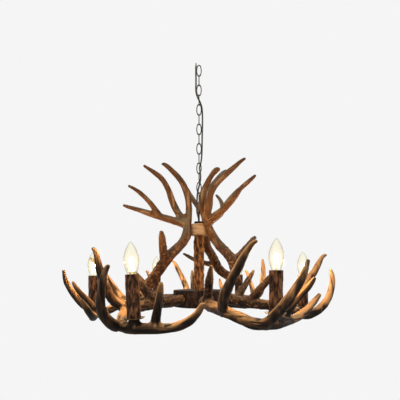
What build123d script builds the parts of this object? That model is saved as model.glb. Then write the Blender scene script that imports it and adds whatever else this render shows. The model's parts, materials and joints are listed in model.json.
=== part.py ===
"""Antler chandelier: six candle arms and three crown antlers on a bark covered stem.

Every length is in millimetres and +Z is up. The origin is the point inside the top chain
link that rests on the ceiling hook, and -Y faces the viewer. The six arms are one cast,
set round the hub, and each arm has its own frame: x runs out through the candle, y runs
round the ring anticlockwise seen from above, and z is measured from the arms' datum.
"""

import math
import os

from build123d import *

os.makedirs("parts", exist_ok=True)

# ---------------------------------------------------------------- driving dimensions

# Chain of oval links, turned a quarter from one to the next.
wire_diameter = 3.0
link_inside_length = 31.0
link_inside_width = 11.0
link_end_radius = 5.0
link_play = 0.3
link_count = 15

# Screwed loop that takes the last link, over the threaded stem tube.
loop_wire = 5.0
loop_inside_width = 17.0
loop_inside_height = 30.5
loop_nut_diameter = 30.0
loop_nut_height = 8.0
turning_gap = 0.1

# Stem: hollow threaded tube, collar, bark covered column.
stem_diameter = 10.0
stem_bore = 6.4
thread_clearance = 0.05
collar_diameter = 60.0
collar_height = 35.0
column_diameter = 31.0
column_length = 171.0

# Hub drum, closed by a plate that a finial nut holds.
hub_diameter = 160.0
hub_height = 51.0
hub_wall = 3.0
seat_cut_margin = 40.0
cover_thickness = 3.0
cover_clearance = 0.2
finial_diameter = 13.0
finial_height = 20.0
finial_flange = 20.0
nut_across_flats = 17.0
nut_height = 8.0
terminal_diameter = 68.0
terminal_height = 23.0

# Candles, set on a ring.
candle_ring_radius = 329.0
arm_rise = 47.0
candle_drop = 101.2
sleeve_diameter = 31.5
sleeve_wall = 1.6
sleeve_length = 100.0
pan_diameter = 50.0
pan_thickness = 1.2
pan_rim_height = 4.0
boss_diameter = 25.0
boss_height = 20.0
nipple_diameter = 10.0
nipple_bore = 5.6
nipple_length = 32.0
nipple_depth = 12.0

# Lampholders and bulbs with a 14 mm screw cap.
holder_diameter = 26.0
holder_stem_diameter = 15.0
holder_drop = 14.0
holder_body_length = 46.0
cap_diameter = 14.0
cap_length = 24.0
cap_clearance = 0.3
bulb_diameter = 35.0
bulb_reach = 74.0
glass_wall = 0.8
post_height = 30.0
post_diameter = 6.4
filament_length = 26.0
filament_spread = 2.2
filament_wire = 1.6

# Wiring.
cord_diameter = 5.2
core_diameter = 1.8
core_length = 8.0
lead_diameter = 4.6
lead_channel = 6.4
lead_hole = 8.0

# Screws that hold the antlers.
screw_diameter = 4.8
screw_head_diameter = 9.0
screw_head_height = 3.2
screw_length = 24.0
screw_spread = 8.5
seat_gap = 0.2

# One arm antler, as centre line points with the radius there: (x, y, z, radius). Here x is
# the share of the way from the hub's side, 0, to the candle's axis, 1.
arm_beam = [
    (-0.072, -25, -72, 14), (0.12, -50, -77, 14.5), (0.281, -70, -82, 14.5), (0.482, -82, -87, 14),
    (0.643, -86, -93, 13.5), (0.823, -70, -108, 13), (0.98, -48, -121, 12.5), (1.141, -44, -104, 11.5),
    (1.253, -38, -75, 10.5), (1.325, -23, -43, 9), (1.365, -8, -11, 7), (1.365, 7, 18, 4),
]
arm_rear_tine = [
    (0.663, -88, -92, 12), (0.743, -103, -75, 12), (0.815, -110, -55, 11.5), (0.892, -109, -27, 10.5),
    (0.972, -104, 2, 9.5), (1.052, -97, 33, 7.5), (1.157, -87, 59, 4),
]
arm_sweep_tine = [
    (0.94, -48, -119, 12), (0.988, -22, -123, 12.5), (0.996, 8, -122, 12.5), (0.952, 50, -121, 11.5),
    (0.896, 98, -117, 10.5), (0.884, 150, -94, 8.5), (0.9, 168, -78, 7), (0.924, 182, -60, 3.5),
]
arm_prong = [
    (0.912, 45, -116, 10), (0.964, 62, -85, 9.5), (1.032, 80, -57, 8), (1.084, 93, -36, 6.5),
    (1.12, 102, -17, 3.5),
]
arm_brow_tine = [
    (0.253, -66, -80, 12.5), (0.341, -77, -55, 11.5), (0.442, -89, -23, 9.5), (0.514, -97, 0, 7),
    (0.566, -102, 16, 3.5),
]
butt_angle = -22.0
lead_turns = [(0.281, -70, -82), (0.639, -86, -93), (0.884, -62, -114), (0.968, -38, -121)]
lead_bend = 10.0
lead_depth = 24.0

# The arms round the hub: turn about the stem, tilt of the outer end, reach of the tines
# on the far side, and sideways lean of the candle, in degrees but for the reach.
arms = {
    "front_left": (243.6, 0.3, 0.90, -2.6),
    "front_right": (302.0, 1.9, 1.00, 0.6),
    "right": (1.2, 0.0, 1.00, 0.0),
    "back_right": (61.0, 0.3, 0.97, 0.0),
    "back_left": (121.0, 0.3, 1.03, 0.0),
    "left": (181.5, -0.3, 1.00, -0.5),
}

# One crown antler, as (x, y, z, radius): x from the collar's side and z from the crown's
# datum. The left one's foot is the longest.
crown_long_foot = [(133, 36, -45, 15)]
crown_base = [
    (118, 40, -22, 15), (95, 50, 8, 15), (71, 58, 40, 15), (44, 48, 72, 14),
    (19, 36, 100, 13.5), (7, 13, 146, 12.5), (3, 2, 180, 10.5), (2, -8, 213, 10),
]
crown_tall_tip = [(7, -6, 250, 9.5), (20, -1, 286, 8.5), (48, 0, 322, 7.5), (87, 0, 350, 4)]
crown_short_tip = [(6, -6, 246, 9.5), (18, 0, 274, 8.5), (42, 3, 297, 7.5), (78, 5, 305, 4)]
crown_brow_tine = [
    (73, 56, 38, 13), (72, 80, 55, 12), (72, 100, 72, 11), (72, 122, 97, 9),
    (72, 143, 118, 5),
]
crown_high_tine = [
    (8, 9, 150, 10), (20, 2, 172, 10.5), (37, -9, 199, 10.5), (56, -10, 239, 9.5),
    (72, 13, 278, 8.5), (97, 37, 305, 7), (135, 55, 327, 3.5),
]
crown_low_tine = [
    (10, 8, 155, 11.5), (42, 5, 168, 11), (76, 5, 178, 10.5), (124, 3, 193, 8.5),
    (172, -5, 209, 6.5), (212, -14, 223, 3.5),
]
crown_fork_tine = [
    (88, 5, 180, 9), (105, 14, 202, 8.5), (126, 29, 228, 7.5), (151, 44, 250, 6),
    (181, 53, 267, 3.5),
]
# The third crown antler stands behind the stem and carries its tines differently.
back_crown_brow_tine = [
    (71, 58, 42, 11.5), (60, 96, 40, 9), (43, 126, 48, 7.5), (22, 151, 63, 6),
    (2, 171, 78, 3.5),
]
back_crown_side_tine = [
    (-2, 9, 170, 11), (3, 25, 198, 10), (0, 52, 225, 9), (-10, 104, 285, 6.5),
    (-15, 124, 314, 3.5),
]
back_crown_fork_tine = [
    (13, 8, 165, 11), (56, 25, 195, 10), (85, 40, 222, 8.5), (94, 58, 252, 6.5),
    (84, 78, 282, 3.5),
]
crown_turns = {"left": 180.0, "right": 300.0, "back": 30.0}
crown_drop = 124.0
crown_screw_angle = 19.4
crown_screw_rise = 19.0
crown_screw_depth = 15.0
crown_screw_bite = 12.0
crown_screw_length = 29.0

# Supply cord, from its upper end beside the top link down into the stem tube. It is laced
# through the fourth and the eleventh link.
cord_route = [
    (-9.5, -12.5, -7), (-9.9, -12.9, -28), (-9.1, -12.0, -60), (-10.2, -9.8, -84),
    (-5.6, -3.9, -99), (5.6, 3.9, -116), (10.4, 9.6, -132), (11.3, 10.8, -168),
    (10.2, 9.9, -210), (9.6, 11.0, -252), (8.6, 9.6, -286), (5.3, 7.0, -306),
    (0.6, 1.0, -321), (5.2, -9.6, -342), (4.2, -10.6, -368), (-4.6, -8.8, -398),
    (-6.4, -9.4, -426), (-7.2, -6.8, -450), (-5.8, -4.4, -465), (-1.8, -1.4, -478),
    (0, 0, -491), (0, 0, -503),
]
arc_share = 0.45

# ---------------------------------------------------------------- levels down the stem

link_pitch = link_inside_length - link_play
loop_top = -link_count * link_pitch
nut_top = loop_top - loop_inside_height
collar_top = nut_top - loop_nut_height - turning_gap
column_top = collar_top - collar_height
hub_top = column_top - column_length
hub_bottom = hub_top - hub_height
arm_level = hub_top + arm_rise
crown_level = column_top - crown_drop
hub_radius = hub_diameter / 2
collar_radius = collar_diameter / 2
stem_top = nut_top - 1
stem_bottom = hub_bottom - finial_height + 9
terminal_top = hub_top - hub_wall - nut_height
stem_radius = stem_diameter / 2
stem_hole_radius = stem_radius + thread_clearance


def write_piece(piece, name):
    """Label a finished piece and write it as one node."""
    piece.part.label = name
    export_step(piece.part, f"parts/{name}.step")


# ---------------------------------------------------------------- shapes that repeat


def make_tine(points, frame):
    """Loft one tine through a circle at each centre line point of an antler's frame."""
    spots = [frame.from_local_coords(Vector(*point[:3])) for point in points]
    last = len(spots) - 1
    ways = []
    for index in range(len(spots)):
        before = spots[max(index - 1, 0)]
        after = spots[min(index + 1, last)]
        ways.append((after - before).normalized())
    side = ways[0].cross(ways[-1])
    with BuildPart() as tine:
        for spot, way, point in zip(spots, ways, points):
            with BuildSketch(Plane(origin=spot, x_dir=side.cross(way), z_dir=way)):
                Circle(point[3])
        loft()
    return tine.part


def make_tube(points, diameter, radii):
    """Sweep a round section along straight runs joined by tangent arcs."""
    with BuildPart() as tube:
        with BuildLine() as path:
            FilletPolyline(*points, radius=radii)
        start = Plane(origin=path.line @ 0, z_dir=path.line % 0)
        with BuildSketch(start):
            Circle(diameter / 2)
        sweep(path=path.line)
    return tube.part


def make_rod(start, way, length, diameter):
    """A round rod from a point along a direction."""
    with BuildPart() as rod:
        with BuildSketch(Plane(origin=start, z_dir=way)):
            Circle(diameter / 2)
        extrude(amount=length)
    return rod.part


def radial_plane(angle, radius, height):
    """A plane square to the stem's radius at an angle, facing outwards."""
    turn = math.radians(angle)
    way = Vector(math.cos(turn), math.sin(turn), 0)
    return Plane(origin=way * radius + Vector(0, 0, height), z_dir=way)


def make_screw(angle, head_radius, height, length):
    """A pan head screw whose shank points outwards, or inwards for a negative length."""
    seat = radial_plane(angle, head_radius, height)
    toward_head = -math.copysign(screw_head_height, length)
    with BuildPart() as screw:
        with BuildSketch(seat):
            Circle(screw_diameter / 2)
        extrude(amount=length)
        with BuildSketch(seat):
            Circle(screw_head_diameter / 2)
        extrude(amount=toward_head)
    return screw.part


def make_link(index):
    """One oval chain link; even ones stand across the view and odd ones along it."""
    half_length = link_inside_length / 2 + wire_diameter / 2
    half_width = link_inside_width / 2 + wire_diameter / 2
    end_centre = half_length - link_end_radius
    side_radius = (half_width**2 + end_centre**2 - link_end_radius**2) / (
        2 * (half_width - link_end_radius)
    )
    share = link_end_radius / (side_radius - link_end_radius)
    join_across = (side_radius - half_width) * share
    join_up = end_centre * (1 + share)
    inside_top = -index * link_pitch
    middle = Vector(0, 0, inside_top - link_inside_length / 2)
    across = Vector(1, 0, 0) if index % 2 == 0 else Vector(0, 1, 0)
    up = Vector(0, 0, 1)
    corner_a = middle + across * join_across + up * join_up
    corner_b = middle - across * join_across + up * join_up
    corner_c = middle - across * join_across - up * join_up
    corner_d = middle + across * join_across - up * join_up
    with BuildPart() as link:
        with BuildLine() as path:
            ThreePointArc(corner_d, middle + across * half_width, corner_a)
            ThreePointArc(corner_a, middle + up * half_length, corner_b)
            ThreePointArc(corner_b, middle - across * half_width, corner_c)
            ThreePointArc(corner_c, middle - up * half_length, corner_d)
        with BuildSketch(Plane(origin=path.line @ 0, z_dir=path.line % 0)):
            Circle(wire_diameter / 2)
        sweep(path=path.line)
    return link.part


# ---------------------------------------------------------------- chain, loop and cord

for name, first, stop in (
    ("chain_link_top", 0, 1),
    ("chain_link_second", 1, 2),
    ("chain_links", 2, link_count),
):
    links = [make_link(index) for index in range(first, stop)]
    with BuildPart() as chain:
        for link in links:
            add(link)
    write_piece(chain, name)

loop_half = loop_inside_width / 2 + loop_wire / 2
loop_shoulder = loop_top + loop_wire / 2 - loop_half
with BuildPart() as suspension_loop:
    with BuildLine() as arch:
        Line((0, -loop_half, nut_top - 1), (0, -loop_half, loop_shoulder))
        ThreePointArc(
            (0, -loop_half, loop_shoulder),
            (0, 0, loop_shoulder + loop_half),
            (0, loop_half, loop_shoulder),
        )
        Line((0, loop_half, loop_shoulder), (0, loop_half, nut_top - 1))
    with BuildSketch(Plane(origin=(0, -loop_half, nut_top - 1), z_dir=(0, 0, 1))):
        Circle(loop_wire / 2)
    sweep(path=arch.line)
    with BuildSketch(Plane.XY.offset(nut_top)):
        Circle(loop_nut_diameter / 2)
    extrude(amount=-loop_nut_height)
    with BuildSketch(Plane.XY.offset(nut_top)):
        Circle(stem_hole_radius)
    extrude(amount=-loop_nut_height, mode=Mode.SUBTRACT)
write_piece(suspension_loop, "suspension_loop")

route = [Vector(*point) for point in cord_route]
cord_radii = []
for before, here, after in zip(route, route[1:], route[2:]):
    turn = (here - before).get_angle(after - here)
    shorter = min((here - before).length, (after - here).length)
    cord_radii.append(arc_share * shorter / math.tan(math.radians(turn / 2)))
print("cord radii", [round(radius) for radius in cord_radii])
cord_solid = make_tube(route, cord_diameter, cord_radii)
with BuildPart() as supply_cord:
    add(cord_solid)
write_piece(supply_cord, "supply_cord")
section = math.pi * (cord_diameter / 2) ** 2
print("cord length", round(supply_cord.part.volume / section, 1))

core_ring = cord_diameter / 4
with BuildPart() as supply_cores:
    with BuildSketch(Plane(origin=route[0], z_dir=route[0] - route[1])):
        with PolarLocations(core_ring, 3):
            Circle(core_diameter / 2)
    extrude(amount=core_length)
write_piece(supply_cores, "supply_cores")

# ---------------------------------------------------------------- stem

with BuildPart() as stem_tube:
    with BuildSketch(Plane.XY.offset(stem_bottom)):
        Circle(stem_radius)
        Circle(stem_bore / 2, mode=Mode.SUBTRACT)
    extrude(amount=stem_top - stem_bottom)
write_piece(stem_tube, "stem_tube")

stem_lead_top = cord_route[-1][2]
stem_lead_bottom = terminal_top - terminal_height
with BuildPart() as stem_lead:
    with BuildSketch(Plane.XY.offset(stem_lead_bottom)):
        Circle(cord_diameter / 2)
    extrude(amount=stem_lead_top - stem_lead_bottom)
write_piece(stem_lead, "stem_lead")

with BuildPart() as column:
    with BuildSketch(Plane.XY.offset(hub_top)):
        Circle(column_diameter / 2)
        Circle(stem_hole_radius, mode=Mode.SUBTRACT)
    extrude(amount=column_length)
write_piece(column, "bark_column")

crown_screw_level = column_top + crown_screw_rise
crown_screw_end = collar_radius - crown_screw_bite
crown_screw_head = crown_screw_end + crown_screw_length
with BuildPart() as collar:
    with BuildSketch(Plane.XY.offset(column_top)):
        Circle(collar_diameter / 2)
        Circle(stem_hole_radius, mode=Mode.SUBTRACT)
    extrude(amount=collar_height)
    rims = collar.edges().filter_by(GeomType.CIRCLE).group_by(SortBy.RADIUS)[-1]
    fillet(rims, radius=3)
    for crown_turn in crown_turns.values():
        hole = radial_plane(crown_turn + crown_screw_angle, crown_screw_end, crown_screw_level)
        with BuildSketch(hole):
            Circle(screw_diameter / 2 + thread_clearance)
        extrude(amount=crown_screw_length, mode=Mode.SUBTRACT)
write_piece(collar, "collar")

# ---------------------------------------------------------------- arm frames and wiring


def arm_plane(turn, tilt):
    """The frame of an arm, at the level of the arms' datum."""
    return Plane(Pos(0, 0, arm_level) * Rot(0, 0, turn) * Rot(0, -tilt, 0))


def out_along(share):
    """How far from the stem a share of the way from the hub's side to the candle lies."""
    return hub_radius + share * (candle_ring_radius - hub_radius)


def place_along(points):
    """Set an arm's points out between the hub and the candle."""
    return [(out_along(point[0]), *point[1:]) for point in points]


def candle_plane(frame, lean):
    """The seat under a candle's drip pan; the candle stands upright but for its lean."""
    spot = frame.from_local_coords(Vector(candle_ring_radius, 0, -candle_drop))
    way = Vector(math.tan(math.radians(lean)), 0, 1)
    return Plane(origin=spot, x_dir=Vector(1, 0, -way.X), z_dir=way)


frames = {name: arm_plane(turn, tilt) for name, (turn, tilt, reach, lean) in arms.items()}
seats = {name: candle_plane(frames[name], arms[name][3]) for name in arms}

butt_way = Vector(math.cos(math.radians(butt_angle)), math.sin(math.radians(butt_angle)), 0)
butt_drop = Vector(0, 0, -arm_rise - hub_height / 2)
lead_paths = {}
for name, frame in frames.items():
    inner = frame.from_local_coords(butt_way * (terminal_diameter / 2 - 6) + butt_drop)
    outer = frame.from_local_coords(butt_way * (hub_radius + 12) + butt_drop)
    turns = [frame.from_local_coords(Vector(*point)) for point in place_along(lead_turns)]
    low = seats[name].from_local_coords(Vector(0, 0, -lead_depth))
    high = seats[name].from_local_coords(Vector(0, 0, nipple_length - nipple_depth))
    lead_paths[name] = [inner, outer, *turns, low, high]


def make_lead(name, diameter):
    """The lamp lead of an arm, or the channel or hole that it needs."""
    points = lead_paths[name]
    return make_tube(points, diameter, [lead_bend] * (len(points) - 2))


leads = {name: make_lead(name, lead_diameter) for name in arms}
with BuildPart() as lamp_leads:
    for lead in leads.values():
        add(lead)
write_piece(lamp_leads, "lamp_leads")

channels = {name: make_lead(name, lead_channel) for name in arms}
lead_holes = {}
for name, path in lead_paths.items():
    way = path[1] - path[0]
    lead_holes[name] = make_rod(path[0], way, way.length, lead_hole)

# ---------------------------------------------------------------- hub

antler_screws = []
screw_holes = []
for name, (turn, tilt, reach, lean) in arms.items():
    spot = frames[name].from_local_coords(butt_way * hub_radius + butt_drop)
    head_radius = hub_radius - hub_wall - 0.3
    for shift in (-screw_spread, screw_spread):
        height = spot.Z + shift
        antler_screws.append(make_screw(turn + butt_angle, head_radius, height, screw_length))
        seat = radial_plane(turn + butt_angle, head_radius, height)
        hole = screw_diameter + 2 * thread_clearance
        screw_holes.append(make_rod(seat.origin, seat.z_dir, screw_length, hole))
with BuildPart() as hub_screws:
    for screw in antler_screws:
        add(screw)
write_piece(hub_screws, "arm_screws")

with BuildPart() as hub_drum:
    with BuildSketch(Plane.XY.offset(hub_bottom)):
        Circle(hub_radius)
    extrude(amount=hub_height)
    with BuildSketch(Plane.XY.offset(hub_bottom)):
        Circle(hub_radius - hub_wall)
    extrude(amount=hub_height - hub_wall, mode=Mode.SUBTRACT)
    with BuildSketch(Plane.XY.offset(hub_top)):
        Circle(stem_hole_radius)
    extrude(amount=-hub_wall, mode=Mode.SUBTRACT)
    for hole in (*lead_holes.values(), *screw_holes):
        add(hole, mode=Mode.SUBTRACT)
write_piece(hub_drum, "hub_drum")

cover_radius = hub_radius - hub_wall - cover_clearance
with BuildPart() as hub_cover:
    with BuildSketch(Plane.XY.offset(hub_bottom)):
        Circle(cover_radius)
        Circle(stem_hole_radius, mode=Mode.SUBTRACT)
    extrude(amount=cover_thickness)
write_piece(hub_cover, "hub_cover")

with BuildPart() as terminal_block:
    with BuildSketch(Plane.XY.offset(terminal_top)):
        Circle(terminal_diameter / 2)
        Circle(stem_hole_radius, mode=Mode.SUBTRACT)
    extrude(amount=-terminal_height)
    for name, path in lead_paths.items():
        way = path[1] - path[0]
        with BuildSketch(Plane(origin=path[0], z_dir=way)):
            Circle(lead_diameter / 2 + thread_clearance)
        extrude(amount=way.length, mode=Mode.SUBTRACT)
write_piece(terminal_block, "terminal_block")

with BuildPart() as stem_nuts:
    for level in (terminal_top, terminal_top - terminal_height - nut_height):
        with BuildSketch(Plane.XY.offset(level)):
            RegularPolygon(nut_across_flats / 2, 6, major_radius=False)
            Circle(stem_hole_radius, mode=Mode.SUBTRACT)
        extrude(amount=nut_height)
write_piece(stem_nuts, "stem_nuts")

with BuildPart() as finial:
    with BuildSketch(Plane.XZ):
        with BuildLine():
            Polyline(
                (stem_hole_radius, hub_bottom),
                (finial_flange / 2, hub_bottom),
                (finial_flange / 2, hub_bottom - 2),
                (finial_diameter / 2, hub_bottom - 4),
                (finial_diameter / 2, hub_bottom - finial_height + 5),
                (finial_diameter / 4, hub_bottom - finial_height),
                (0, hub_bottom - finial_height),
                (0, stem_bottom - 1),
                (stem_hole_radius, stem_bottom - 1),
                close=True,
            )
        make_face()
    revolve(axis=Axis.Z)
write_piece(finial, "bottom_finial")

# ---------------------------------------------------------------- arm antlers

hub_seat_diameter = hub_diameter + 2 * seat_gap
hub_room_bottom = Vector(0, 0, hub_bottom - seat_cut_margin)
hub_room_height = hub_height + 2 * seat_cut_margin
hub_room = make_rod(hub_room_bottom, Vector(0, 0, 1), hub_room_height, hub_seat_diameter)


def widen(points, reach):
    """Stretch a tine's points along the ring, past the candle."""
    return [(x, y * reach if y > 0 else y, z, radius) for x, y, z, radius in points]


for name, (turn, tilt, reach, lean) in arms.items():
    frame = frames[name]
    tines = [
        make_tine(widen(place_along(points), reach), frame)
        for points in (arm_beam, arm_rear_tine, arm_sweep_tine, arm_prong, arm_brow_tine)
    ]
    seat = seats[name]
    with BuildPart() as antler:
        for tine in tines:
            add(tine)
        with Locations(seat.offset(-boss_height / 2).location):
            Cone(boss_diameter / 2 - 1, boss_diameter / 2, boss_height)
        add(hub_room, mode=Mode.SUBTRACT)
        add(channels[name], mode=Mode.SUBTRACT)
        for hole in screw_holes:
            add(hole, mode=Mode.SUBTRACT)
        with BuildSketch(seat):
            Circle(nipple_diameter / 2 + thread_clearance)
        extrude(amount=-nipple_depth - thread_clearance, mode=Mode.SUBTRACT)
    write_piece(antler, f"arm_antler_{name}")

# ---------------------------------------------------------------- crown antlers

collar_room = make_rod(
    Vector(0, 0, column_top - 1), Vector(0, 0, 1), collar_height + 2, collar_diameter + 2 * seat_gap
)
front_crown_tines = (crown_brow_tine, crown_high_tine, crown_low_tine, crown_fork_tine)
back_crown_tines = (back_crown_brow_tine, back_crown_side_tine, back_crown_fork_tine)
crown_tines = {
    "left": (crown_long_foot + crown_base + crown_tall_tip, *front_crown_tines),
    "right": (crown_base + crown_short_tip, *front_crown_tines),
    "back": (crown_base + crown_tall_tip, *back_crown_tines),
}


def crown_plane(turn):
    """The frame of a crown antler, at the collar's side."""
    return Plane(Pos(0, 0, crown_level) * Rot(0, 0, turn) * Pos(collar_radius, 0, 0))


crown_screws = []
for name, turn in crown_turns.items():
    frame = crown_plane(turn)
    tines = [make_tine(points, frame) for points in crown_tines[name]]
    angle = turn + crown_screw_angle
    crown_screws.append(make_screw(angle, crown_screw_head, crown_screw_level, -crown_screw_length))
    inner = radial_plane(angle, crown_screw_end, crown_screw_level)
    head = radial_plane(angle, crown_screw_head, crown_screw_level)
    with BuildPart() as crown:
        for tine in tines:
            add(tine)
        add(collar_room, mode=Mode.SUBTRACT)
        with BuildSketch(inner):
            Circle(screw_diameter / 2 + thread_clearance)
        extrude(amount=crown_screw_length, mode=Mode.SUBTRACT)
        with BuildSketch(head):
            Circle(screw_head_diameter / 2 + 2 * thread_clearance)
        extrude(amount=crown_screw_depth, mode=Mode.SUBTRACT)
    write_piece(crown, f"crown_antler_{name}")
with BuildPart() as collar_screws:
    for screw in crown_screws:
        add(screw)
write_piece(collar_screws, "collar_screws")

# ---------------------------------------------------------------- candles

pan_top = pan_thickness
sleeve_top = pan_top + sleeve_length
holder_top = sleeve_top - holder_drop
cap_top = holder_top + 1
cap_bottom = cap_top - cap_length
bulb_radius = bulb_diameter / 2
cap_radius = cap_diameter / 2


def bulb_outline(inset):
    """Half outline of a candle bulb, set in from its outside."""
    tip = sleeve_top + bulb_reach
    return [
        (cap_radius - 0.2 - inset, cap_top),
        (cap_radius + 3.4 - inset, sleeve_top - 1),
        (bulb_radius * 0.86 - inset, sleeve_top + 0.22 * bulb_reach),
        (bulb_radius - inset, sleeve_top + 0.5 * bulb_reach),
        (bulb_radius * 0.8 - inset, sleeve_top + 0.76 * bulb_reach),
        (bulb_radius * 0.34 - inset * 0.6, sleeve_top + 0.95 * bulb_reach - inset * 0.6),
        (0, tip - inset),
    ]


def bulb_solid(seat, inset):
    """The bulb's outline turned about the candle's axis."""
    points = bulb_outline(inset)
    with BuildPart() as bulb:
        with BuildSketch(Plane(origin=seat.origin, x_dir=seat.x_dir, z_dir=-seat.y_dir)):
            with BuildLine():
                Spline(*points, tangents=((0.15, 1), (-1, 0)))
                Polyline(points[-1], (0, points[0][1]), points[0])
            make_face()
        revolve(axis=Axis(seat.origin, seat.z_dir))
    return bulb.part


nipples = []
holders = []
for name in arms:
    seat = seats[name]
    half_plane = Plane(origin=seat.origin, x_dir=seat.x_dir, z_dir=-seat.y_dir)
    axis = Axis(seat.origin, seat.z_dir)

    with BuildPart() as nipple:
        with BuildSketch(seat.offset(-nipple_depth)):
            Circle(nipple_diameter / 2)
            Circle(nipple_bore / 2, mode=Mode.SUBTRACT)
        extrude(amount=nipple_length)
    nipples.append(nipple.part)

    nipple_hole = nipple_diameter / 2 + thread_clearance
    rim = pan_diameter / 2
    with BuildPart() as drip_pan:
        with BuildSketch(half_plane):
            with BuildLine():
                Polyline(
                    (nipple_hole, 0),
                    (rim * 0.75, 0),
                    (rim * 0.92, pan_rim_height * 0.4),
                    (rim, pan_rim_height),
                    (rim - pan_thickness, pan_rim_height),
                    (rim * 0.92 - pan_thickness, pan_rim_height * 0.4 + pan_thickness),
                    (rim * 0.75 - 0.3, pan_thickness),
                    (nipple_hole, pan_thickness),
                    close=True,
                )
            make_face()
        revolve(axis=axis)
    write_piece(drip_pan, f"drip_pan_{name}")

    with BuildPart() as sleeve:
        with BuildSketch(seat.offset(pan_top)):
            Circle(sleeve_diameter / 2)
            Circle(sleeve_diameter / 2 - sleeve_wall, mode=Mode.SUBTRACT)
        extrude(amount=sleeve_length)
    write_piece(sleeve, f"candle_sleeve_{name}")

    body_bottom = holder_top - holder_body_length
    with BuildPart() as holder:
        with BuildSketch(half_plane):
            with BuildLine():
                Polyline(
                    (nipple_hole, pan_top),
                    (holder_stem_diameter / 2, pan_top),
                    (holder_stem_diameter / 2, body_bottom),
                    (holder_diameter / 2, body_bottom + 4),
                    (holder_diameter / 2, holder_top),
                    (cap_radius + cap_clearance, holder_top),
                    (cap_radius + cap_clearance, cap_bottom - 2),
                    (0, cap_bottom - 2),
                    (0, nipple_length - nipple_depth + 1),
                    (nipple_hole, nipple_length - nipple_depth + 1),
                    close=True,
                )
            make_face()
        revolve(axis=axis)
    holders.append(holder.part)

    outside = bulb_solid(seat, 0)
    inside = bulb_solid(seat, glass_wall)
    with BuildPart() as bulb_glass:
        add(outside)
        add(inside, mode=Mode.SUBTRACT)
    write_piece(bulb_glass, f"bulb_glass_{name}")

    with BuildPart() as bulb_cap:
        with BuildSketch(seat.offset(cap_bottom)):
            Circle(cap_radius)
        extrude(amount=cap_length)
        chamfer(bulb_cap.edges().filter_by(GeomType.CIRCLE).sort_by(axis)[0], length=2.5)
    write_piece(bulb_cap, f"bulb_cap_{name}")

    post_radius = post_diameter / 2
    with BuildPart() as filament:
        with Locations(seat.offset(cap_top + post_height / 2).location):
            Cone(post_radius, post_radius / 2, post_height)
        with Locations(seat.offset(cap_top + post_height + filament_length / 2 - 1).location):
            with PolarLocations(filament_spread, 4):
                Cylinder(filament_wire / 2, filament_length)
        with Locations(seat.offset(cap_top + post_height).location):
            Cylinder(filament_spread + filament_wire / 2 + 0.4, 2)
    write_piece(filament, f"bulb_filament_{name}")

with BuildPart() as candle_nipples:
    for nipple_part in nipples:
        add(nipple_part)
write_piece(candle_nipples, "candle_nipples")
with BuildPart() as lampholders:
    for holder_part in holders:
        add(holder_part)
write_piece(lampholders, "lampholders")
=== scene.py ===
# %% [markdown]
# An antler chandelier hangs from a chain over the middle of a room. The solid model of it
# is already made, so this file gives it its looks: cast antlers with grain and worn tips,
# bark covered stem and candles, an aged chain, and clear bulbs that are lit. The solid
# parts are loaded first, and everything else is fitted to them. Lengths are in metres.

# %% Load the solid parts
import json
import math

import bpy
import numpy as np
from mathutils import Matrix, Vector, kdtree, noise


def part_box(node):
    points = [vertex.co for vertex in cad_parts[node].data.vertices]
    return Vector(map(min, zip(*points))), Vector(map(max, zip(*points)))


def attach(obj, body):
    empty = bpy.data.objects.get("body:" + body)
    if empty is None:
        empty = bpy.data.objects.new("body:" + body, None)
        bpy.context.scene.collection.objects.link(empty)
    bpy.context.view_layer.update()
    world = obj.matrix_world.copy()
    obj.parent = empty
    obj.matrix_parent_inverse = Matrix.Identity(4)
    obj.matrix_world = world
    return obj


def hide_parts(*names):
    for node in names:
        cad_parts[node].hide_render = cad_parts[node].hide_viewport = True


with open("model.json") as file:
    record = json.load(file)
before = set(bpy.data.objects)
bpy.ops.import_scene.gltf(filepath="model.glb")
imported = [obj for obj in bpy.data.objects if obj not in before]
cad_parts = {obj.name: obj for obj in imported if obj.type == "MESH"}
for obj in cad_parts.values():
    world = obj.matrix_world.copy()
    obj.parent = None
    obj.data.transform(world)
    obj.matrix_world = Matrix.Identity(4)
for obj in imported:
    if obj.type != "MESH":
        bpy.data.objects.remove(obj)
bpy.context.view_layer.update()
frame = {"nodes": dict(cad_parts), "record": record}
nodes = frame["nodes"]
body_of_node = {}
for body, members in frame["record"]["behaviour"]["bodies"].items():
    for member in members:
        body_of_node[member] = body
arm_names = sorted(node[11:] for node in nodes if node.startswith("arm_antler_"))
crown_names = sorted(node[13:] for node in nodes if node.startswith("crown_antler_"))
print("arms", arm_names, "crown antlers", crown_names)

# %% [markdown]
# An operator works on everything that is selected, and the loaded parts come in selected.
# So a small helper clears the selection and picks one object before each operator, and
# another hands a finished piece to the body that it moves with.

# %% Small helpers for picking and fitting


def pick(piece):
    """Select one object alone and make it the active one."""
    if bpy.context.object and bpy.context.object.mode != "OBJECT":
        bpy.ops.object.mode_set(mode="OBJECT")
    bpy.ops.object.select_all(action="DESELECT")
    piece.select_set(True)
    bpy.context.view_layer.objects.active = piece


def apply_modifier(piece, kind, **settings):
    """Add one modifier with its settings and apply it."""
    pick(piece)
    bpy.ops.object.modifier_add(type=kind)
    modifier = piece.modifiers[-1]
    for key, value in settings.items():
        setattr(modifier, key, value)
    bpy.ops.object.modifier_apply(modifier=modifier.name)


def stand_for(piece, node):
    """Let a new piece take the place and the body of a solid part."""
    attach(piece, body_of_node[node])
    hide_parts(node)


def dress(piece, material):
    """Give a piece one material."""
    piece.data.materials.clear()
    piece.data.materials.append(material)


def corners(piece):
    """The piece's corners as an array."""
    values = np.empty(len(piece.data.vertices) * 3, np.float32)
    piece.data.vertices.foreach_get("co", values)
    return values.reshape(-1, 3).astype(float)


def move_corners(piece, points):
    """Put the piece's corners at new places."""
    piece.data.vertices.foreach_set("co", points.astype(np.float32).ravel())
    piece.data.update()


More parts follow.
